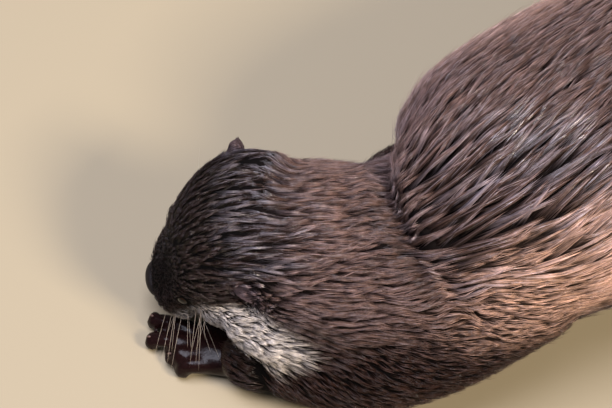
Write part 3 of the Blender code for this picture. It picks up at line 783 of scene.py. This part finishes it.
def spikes(base, which, levels, length_share, radius, flat, gather, lift, fork, tone, shaded_root_level, silver_and_sheen):
    """Closed tapering spikes along the locks' paths, three-sided, and what their points are painted with:
    painted shade at the roots and painted sheen where the coat shines.
    """
    count = len(base)
    run = unit(path[which, 1] - path[which, 0])
    run_length = np.linalg.norm(path[which, 1] - path[which, 0], axis=1).clip(1e-6) * BENDS
    across = np.cross(path_normal[which, 0], run)
    offset = base - path[which, 0]
    s0 = (offset * run).sum(1) / run_length
    reach = length_share - CATCH_UP * s0
    away = base - along_path(path, which, s0)
    spines, ups = [], []
    for t in levels:
        s = s0 + t * reach
        drawn = (gather * min(1, t * DRAWN_BY) ** DRAW_CURVE)[:, None]
        up = unit(along_path(path_normal, which, s.clip(0, 1)))
        spine = along_path(path, which, s) + away * (1 - drawn) + across * (fork * t)[:, None]
        spines.append(spine + up * (lift * (1 - (1 - t) ** 2) - ROOT_DEPTH * (t == 0))[:, None])
        ups.append(up)
    rings = []
    for k, t in enumerate(levels[:-1]):
        side = unit(np.cross(spines[k + 1] - spines[max(k - 1, 0)], ups[k]))
        girth = (radius * (1 - TAPER * t * t))[:, None]
        rings += [spines[k] + side * girth, spines[k] + ups[k] * girth * flat, spines[k] - side * girth]
    points = np.stack(rings + [spines[-1]], 1)
    paleness = np.array([t for t in levels[:-1] for _ in range(3)] + [1.0])
    # Each hair runs lighter from root to tip; the dark roots are partly the hair's own colour and partly
    # painted shade deep in the coat.
    shade = shaded_root_level[:, None] + (1 - shaded_root_level[:, None]) * (0.85 * paleness + 0.5 * paleness**4)
    colour = markings(base)[:, None] * (shade * tone[:, None])[:, :, None]
    shine = lock_coat[which, 7]
    # Pale silver added where the coat shines: partly pale guard hairs, partly painted sheen.
    colour += SILVER_AND_SHEEN * ((silver_and_sheen * shine)[:, None] * paleness)[:, :, None]
    return points, colour, np.repeat(wet[which] * shine, len(paleness))


def spike_faces(levels):
    bands = len(levels) - 1
    faces = [(2, 1, 0)]
    for k in range(bands - 1):
        faces += [(3 * k + i, 3 * k + (i + 1) % 3, 3 * k + 3 + (i + 1) % 3, 3 * k + 3 + i) for i in range(3)]
    last = 3 * (bands - 1)
    return faces + [(last + i, last + (i + 1) % 3, last + 3) for i in range(3)]


NEAR_FLOOR = 0.4 * MM  # hairs that would reach lower are pressed up by the floor


def build_coat(name, parts, levels):
    """One piece of coat from several groups of spikes."""
    points = np.concatenate([group[0] for group in parts])
    height = points[:, :, 2]
    points[:, :, 2] = np.where(height < NEAR_FLOOR, NEAR_FLOOR * np.exp(height / NEAR_FLOOR - 1), height)
    colour = np.concatenate([group[1] for group in parts])
    wet_there = np.concatenate([group[2] for group in parts])
    patch = patch_place(np.concatenate([group[3] for group in parts]))
    count, per = points.shape[:2]
    faces = spike_faces(levels)
    loops = np.array([index for face in faces for index in face])
    sizes = np.tile([len(face) for face in faces], count)
    mesh = bpy.data.meshes.new(name)
    mesh.vertices.add(count * per)
    mesh.loops.add(len(loops) * count)
    mesh.loops.foreach_set("vertex_index", (loops + np.arange(count)[:, None] * per).astype(np.int32).ravel())
    mesh.polygons.add(len(sizes))
    mesh.polygons.foreach_set("loop_start", np.r_[0, np.cumsum(sizes)[:-1]].astype(np.int32))
    mesh.vertices.foreach_set("co", points.astype(np.float32).ravel())
    mesh.update(calc_edges=True)
    mesh.shade_smooth()
    paint(mesh, "marking", colour.reshape(-1, 3))
    mark(mesh, "wet", wet_there)
    spread = np.stack([np.linspace(-0.5, 0.5, per), np.cos(np.arange(per)) * 0.5], 1)[loops] * PATCH
    uv = mesh.uv_layers.new(name="OFBake")
    uv.data.foreach_set("uv", (patch[:, None] + spread).clip(0, 1).astype(np.float32).ravel())
    mesh.materials.append(coat_material)
    piece = add_object(name, mesh)
    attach(piece, "root")


coat_material, nodes, links, shader = new_material("wet_coat")
strands = mottle(nodes, links, 260, 1.2)
links.new(attribute(nodes, "marking").outputs["Color"], strands.inputs["Colour"])
shader.inputs["Roughness"].default_value = 0.34
shader.inputs["Specular IOR Level"].default_value = 0.22
shader.inputs["Coat Roughness"].default_value = 0.14
shader.inputs["Coat IOR"].default_value = 1.7
links.new(attribute(nodes, "wet").outputs["Fac"], shader.inputs["Coat Weight"])

trunk_middle = np.median(lock[lock_kind == "trunk", 0])
in_front = lock[:, 0] < trunk_middle
SHORT, LONG = (0, 0.5, 1), (0, 0.35, 0.72, 1)
soaked = lock_coat[:, 0] > 24
trunk = (lock_kind == "trunk") & ~soaked
face = np.isin(lock_kind, ["head", "jaw", "ear"])
foreleg, hindleg = (np.isin(lock_kind, [leg + "leg", leg + "paw"]) for leg in ("fore", "hind"))
PIECES = {
    "coat_head_left": (face & on_left, SHORT),
    "coat_head_right": (face & ~on_left, SHORT),
    "coat_neck_left": ((lock_kind == "neck") & on_left, SHORT),
    "coat_neck_right": ((lock_kind == "neck") & ~on_left, SHORT),
    "coat_shoulder_ridges": (soaked, LONG),
    "coat_trunk_front_left": (trunk & on_left & in_front, SHORT),
    "coat_trunk_front_right": (trunk & ~on_left & in_front, SHORT),
    "coat_trunk_back_left": (trunk & on_left & ~in_front, SHORT),
    "coat_trunk_back_right": (trunk & ~on_left & ~in_front, SHORT),
    "coat_foreleg_left": (foreleg & on_left, SHORT),
    "coat_foreleg_right": (foreleg & ~on_left, SHORT),
    "coat_hindlegs": (hindleg, SHORT),
    "coat_tail": (lock_kind == "tail", SHORT),
}
PALE_SHARE, LOOSE_SHARE = 0.14, 0.07  # of the hairs: pale ones, and ones that stand off from their lock
LOOSE_ABOVE = 30 * MM
for name, (locks, levels) in PIECES.items():
    hairs = np.flatnonzero(locks[lock_of])
    which, base = lock_of[hairs], root[hairs]
    _, spacing, width, _, gather, _, shaded_root_level, _, depth, _ = root_coat[hairs].T * MM
    number = len(hairs)
    middling = 1 - np.linalg.norm(base - lock[which], axis=1) / spacing.clip(1e-6)
    pale_hair = rng.random(number) < PALE_SHARE
    loose = (rng.random(number) < LOOSE_SHARE) & (base[:, 2] > LOOSE_ABOVE)
    loose = np.where(loose, rng.uniform(1.2, 1.9, number), 1)
    tone = (0.65 + 0.5 * lock_tone[which]) * rng.uniform(0.6, 1.4, number) * np.where(pale_hair, 1.6, 1)
    hair_group = spikes(
        base,
        which,
        levels,
        1 + rng.normal(0, 0.10, number),
        width / 2 * rng.uniform(0.8, 1.25, number),
        0.9,
        gather / MM,
        depth * rng.uniform(0.55, 1.0, number) * (0.72 + 0.28 * middling.clip(0, 1)) * loose,
        (rng.integers(0, 3, number) - 1) * spacing * 0.15,
        tone,
        shaded_root_level / MM,
        pale_hair * rng.uniform(0.2, 1.0, number) + lock_sheen[which],
    )
    cored = np.flatnonzero(locks & (lock_coat[:, 5] > 0.2))
    core_width, core_depth = lock_coat[cored, 5] * MM, lock_coat[cored, 8] * MM
    core_group = spikes(
        lock[cored],
        cored,
        levels,
        np.full(len(cored), 1.06),
        core_width / 2 * rng.uniform(0.8, 1.3, len(cored)),
        0.45,
        np.ones(len(cored)),
        core_depth * rng.uniform(0.6, 0.9, len(cored)),
        np.zeros(len(cored)),
        0.6 + 0.4 * lock_tone[cored],
        lock_coat[cored, 6],
        lock_sheen[cored],
    )
    # Crest hairs along the top of each lock are painted pale and silvery: partly pale guard hairs, partly a
    # painted highlight along the lock's crest.
    crested = np.flatnonzero(locks & np.isin(lock_kind, ["head", "neck", "trunk"]) & (lock_coat[:, 0] > 6))
    crest_group = spikes(
        lock[crested],
        crested,
        levels,
        rng.uniform(1.0, 1.25, len(crested)),
        lock_coat[crested, 2] * 0.6 * MM,
        0.8,
        np.ones(len(crested)),
        lock_coat[crested, 8] * MM * rng.uniform(0.9, 1.08, len(crested)),
        np.zeros(len(crested)),
        0.9 + 0.5 * lock_tone[crested],
        lock_coat[crested, 6],
        rng.uniform(0.2, 1.5, len(crested)),
    )
    parts = [(*hair_group, base), (*core_group, lock[cored]), (*crest_group, lock[crested])]
    build_coat(name, parts, levels)

# ---- The eyes -----------------------------------------------------
# Small dark wet eyes set deep between the lids: an eyeball with a slightly proud cornea, nearly black, with a
# dark brown iris that shows only close by.

CORNEA = 0.35 * MM
IRIS_EDGE = 0.52  # cosine-like height, on the ball's own radius, at which the iris starts

eye_material, nodes, links, shader = new_material("eye")
iris = nodes.new("ShaderNodeValToRGB")
iris.color_ramp.elements[0].position = 0.30
iris.color_ramp.elements[0].color = (0.010, 0.006, 0.004, 1)
iris.color_ramp.elements[1].position = 0.62
iris.color_ramp.elements[1].color = (0.055, 0.024, 0.010, 1)
pupil = iris.color_ramp.elements.new(0.88)
pupil.color = (0.002, 0.002, 0.002, 1)
links.new(attribute(nodes, "toward").outputs["Fac"], iris.inputs["Fac"])
links.new(iris.outputs["Color"], shader.inputs["Base Color"])
shader.inputs["Roughness"].default_value = 0.04
shader.inputs["IOR"].default_value = 1.38

for side, sign in SIDES.items():
    look = head_turn @ Vector((LOOK.x, LOOK.y * sign, LOOK.z))
    ball = bmesh.new()
    bmesh.ops.create_uvsphere(ball, u_segments=48, v_segments=32, radius=EYE_RADIUS * 0.985)
    for vertex in ball.verts:
        height = vertex.co.z / EYE_RADIUS
        vertex.co *= 1 + CORNEA / EYE_RADIUS * float(rise(IRIS_EDGE, 0.95, height))
    mesh = mesh_from(ball, "eyeball_" + side)
    mark(mesh, "toward", read(mesh)[:, 2] / EYE_RADIUS)
    mesh.transform(Matrix.Translation(eyes[side]) @ look.to_track_quat("Z", "Y").to_matrix().to_4x4())
    mesh.shade_smooth()
    mesh.materials.append(eye_material)
    eyeball = add_object("eyeball_" + side, mesh)
    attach(eyeball, "root")
    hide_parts("eye_" + side)

# ---- The nose -----------------------------------------------------
# The bare pad at the end of the muzzle: moist, near-black, pebbled skin round two comma-shaped nostrils, with
# a groove between them.

NOSE_SIZE = (5.2 * MM, 9.8 * MM, 5.8 * MM)
NOSTRIL_OUT, NOSTRIL_UP = 0.46, -0.12  # on the pad's own half sizes
NOSTRIL_DEPTH, GROOVE_DEPTH = 2.2 * MM, 0.6 * MM

pad = bmesh.new()
bmesh.ops.create_uvsphere(pad, u_segments=96, v_segments=64, radius=1)
for vertex in pad.verts:
    a, l, u = vertex.co
    out = abs(l) - NOSTRIL_OUT
    comma = math.hypot(out / 0.16, (u - NOSTRIL_UP + 0.5 * out) / 0.22)
    hole = math.exp(-(comma**2)) * (a > 0)
    groove = math.exp(-((l / 0.07) ** 2)) * (a > 0) * (u < 0.3)
    wing = 0.06 * math.exp(-(((comma - 1.7) / 0.5) ** 2)) * (a > 0)
    flat = 1 - 0.28 * max(a, 0) ** 2 * (1 - 0.5 * u)
    vertex.co = Vector((a * flat, l, u)) * (1 + wing) * Vector(NOSE_SIZE)
    vertex.co.x -= hole * NOSTRIL_DEPTH + groove * GROOVE_DEPTH + wing * NOSE_SIZE[0]
mesh = mesh_from(pad, "nose_pad")
mesh.transform(Matrix.Translation(nose_middle) @ head_turn.to_4x4())
mesh.shade_smooth()
nose_material, nodes, links, shader = new_material("nose_leather")
shader.inputs["Roughness"].default_value = 0.46
shader.inputs["Specular IOR Level"].default_value = 0.15
leather = mottle(nodes, links, 600, 1.6)
leather.inputs["Colour"].default_value = (0.010, 0.0075, 0.0075, 1)
pebbles = nodes.new("ShaderNodeTexVoronoi")
pebbles.feature = "DISTANCE_TO_EDGE"
pebbles.inputs["Scale"].default_value = 1400
follow_object(nodes, links, pebbles.inputs["Vector"])
add_bump(nodes, links, pebbles.outputs["Distance"], 0.5, 0.3 * MM)
mesh.materials.append(nose_material)
nose_pad = add_object("nose_pad", mesh)
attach(nose_pad, "root")
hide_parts("nose")

# ---- The claws ----------------------------------------------------
# Twenty blunt little pegs of horn, one let into the top of each toe, too short to reach past its pad.

CLAWS = [f"claw_{limb}_{side}_{toe}" for limb in ("fore", "hind") for side in SIDES for toe in range(1, 6)]

pegs = bmesh.new()
for name in CLAWS:
    pegs.from_mesh(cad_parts[name].data)
bmesh.ops.remove_doubles(pegs, verts=pegs.verts, dist=0.02 * MM)
bmesh.ops.dissolve_limit(pegs, angle_limit=math.radians(2), verts=pegs.verts, edges=pegs.edges)
mesh = mesh_from(pegs, "claws")
mesh.shade_smooth()
horn_material, nodes, links, shader = new_material("horn")
layers = mottle(nodes, links, 700, 1.4)
layers.inputs["Colour"].default_value = (0.100, 0.056, 0.044, 1)
add_bump(nodes, links, layers.outputs["Height"], 0.3, 0.1 * MM)
shader.inputs["Roughness"].default_value = 0.32
mesh.materials.append(horn_material)
claws = add_object("claws", mesh)
rounded = claws.modifiers.new("rounded", "SUBSURF")
rounded.levels = rounded.render_levels = 2
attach(claws, "root")
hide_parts(*CLAWS)

# ---- The whiskers -------------------------------------------------
# Stiff pale bristles on the whisker pads. Each is a tapering curve of keratin set in the skin, and they droop
# over the hands with the water's weight.

WHISKERS = 19  # on each side
WHISKER_THICK, WHISKER_LONG = 0.08 * MM, 30 * MM
WHISKER_STEPS, WHISKER_SIDES = 8, 5
WHISKER_DROOP = 0.22  # how far the point hangs, as a share of the length
WHISKER_LOWEST = 1 * MM  # the floor holds them up from here
WHISKER_SAG = {"left": 0.12, "right": 0.75}  # the turned head folds the far ones under

bristles = bmesh.new()


def add_whisker(foot, heading, length, thick):
    """A closed, tapering, drooping bristle from a foot in the skin."""
    rings = []
    side = heading.orthogonal().normalized()
    other = heading.cross(side)
    for k in range(WHISKER_STEPS):
        t = k / WHISKER_STEPS
        centre = foot + heading * (length * t) - Vector((0, 0, length * WHISKER_DROOP * t * t))
        centre.z = max(centre.z, WHISKER_LOWEST)
        ring = []
        for j in range(WHISKER_SIDES):
            turn = math.tau * j / WHISKER_SIDES
            spoke = side * math.cos(turn) + other * math.sin(turn)
            ring.append(bristles.verts.new(centre + spoke * thick * (1 - 0.75 * t)))
        rings.append(ring)
    end = foot + heading * length - Vector((0, 0, length * WHISKER_DROOP))
    tip = bristles.verts.new((end.x, end.y, max(end.z, WHISKER_LOWEST)))
    bristles.faces.new(list(reversed(rings[0])))
    for low, high in zip(rings, rings[1:]):
        for j in range(WHISKER_SIDES):
            k = (j + 1) % WHISKER_SIDES
            bristles.faces.new((low[j], low[k], high[k], high[j]))
    for j in range(WHISKER_SIDES):
        bristles.faces.new((rings[-1][j], rings[-1][(j + 1) % WHISKER_SIDES], tip))


def skin_by(a, l, u):
    """The skin's surface and its normal near a place given in the head's frame, in cm."""
    place, normal, _, _ = skin_tree.find_nearest(head_place @ (Vector((a, l, u)) / 100))
    return place, normal


for side, sign in SIDES.items():
    for _ in range(WHISKERS):
        a, u = rng.uniform(3.2, 7.6), rng.uniform(-0.9, -0.2)
        foot, normal = skin_by(a, sign * np.interp(a, [5, 7.6], [2.6, 1.3]), u)
        sway = Vector(rng.normal(0, 0.16, 3))
        heading = normal * 0.9 + to_left * sign * 0.8 - ahead * (0.10 + 0.12 * (6.9 - a)) + sway
        heading = (heading - above * WHISKER_SAG[side]).normalized()
        add_whisker(foot - normal * 0.5 * MM, heading, WHISKER_LONG * rng.uniform(0.45, 1.1), WHISKER_THICK)
mesh = mesh_from(bristles, "whiskers")
mesh.shade_smooth()
bristle_material, nodes, links, shader = new_material("bristle")
straw = mottle(nodes, links, 300, 1.0)
straw.inputs["Colour"].default_value = (0.46, 0.37, 0.28, 1)
shader.inputs["Roughness"].default_value = 0.35
mesh.materials.append(bristle_material)
whiskers = add_object("whiskers", mesh)
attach(whiskers, "root")

# ---- Floor, light and camera --------------------------------------
# Not part of the animal: a pale warm floor, a wide cool overhead light that shows the wet coat's sheen, a
# warm light low from the side, and the camera, which looks down from beyond the animal's left side.

slab = bmesh.new()
bmesh.ops.create_grid(slab, x_segments=1, y_segments=1, size=12)
mesh = mesh_from(slab, "floor")
floor_material, _, _, shader = new_material("floor")
shader.inputs["Base Color"].default_value = (0.31, 0.255, 0.165, 1)
shader.inputs["Roughness"].default_value = 0.7
mesh.materials.append(floor_material)
floor = add_object("floor", mesh)

world = bpy.data.worlds.new("studio")
bpy.context.scene.world = world
world.use_nodes = True
nodes, links = world.node_tree.nodes, world.node_tree.links
nodes["Background"].inputs["Color"].default_value = (0.80, 0.88, 1.0, 1)
nodes["Background"].inputs["Strength"].default_value = 0.12
backdrop = nodes.new("ShaderNodeBackground")
backdrop.inputs["Color"].default_value = (0.44, 0.40, 0.30, 1)
seen = nodes.new("ShaderNodeMixShader")
links.new(nodes.new("ShaderNodeLightPath").outputs["Is Camera Ray"], seen.inputs["Fac"])
links.new(nodes["Background"].outputs["Background"], seen.inputs[1])
links.new(backdrop.outputs["Background"], seen.inputs[2])
links.new(seen.outputs["Shader"], nodes["World Output"].inputs["Surface"])

TARGET = Vector((-0.15, -0.03, 0.08))


def add_light(name, offset, size, power, colour):
    light = bpy.data.lights.new(name, "AREA")
    light.size = size
    light.energy = power
    light.color = colour
    lamp = add_object(name, light)
    lamp.location = TARGET + Vector(offset)
    lamp.rotation_euler = (-Vector(offset)).to_track_quat("-Z", "Y").to_euler()


add_light("overhead", (-0.50, -0.05, 2.5), 1.7, 125, (0.84, 0.85, 1.0))
add_light("low_sun", (1.5, -1.2, 1.8), 0.6, 90, (1.0, 0.88, 0.72))

CAMERA_DISTANCE = 1.5
FOCAL_LENGTH = 180.9  # in mm
AIM_ALONG, AIM_UP = 29.8 * MM, 8.8 * MM  # where the view is centred, from the middle of the ears
view = Vector((0, 0.5, -math.sqrt(0.75)))
view_up = Vector((0, math.sqrt(0.75), 0.5))
aim = head_place.translation + Vector((AIM_ALONG, 0, 0)) + view_up * AIM_UP
bpy.context.scene.view_settings.view_transform = "Standard"
lens = bpy.data.cameras.new("camera")
lens.sensor_width = 36
lens.lens = FOCAL_LENGTH
camera = add_object("camera", lens)
camera.location = aim - view * CAMERA_DISTANCE
camera.rotation_euler = view.to_track_quat("-Z", "Y").to_euler()
bpy.context.scene.camera = camera
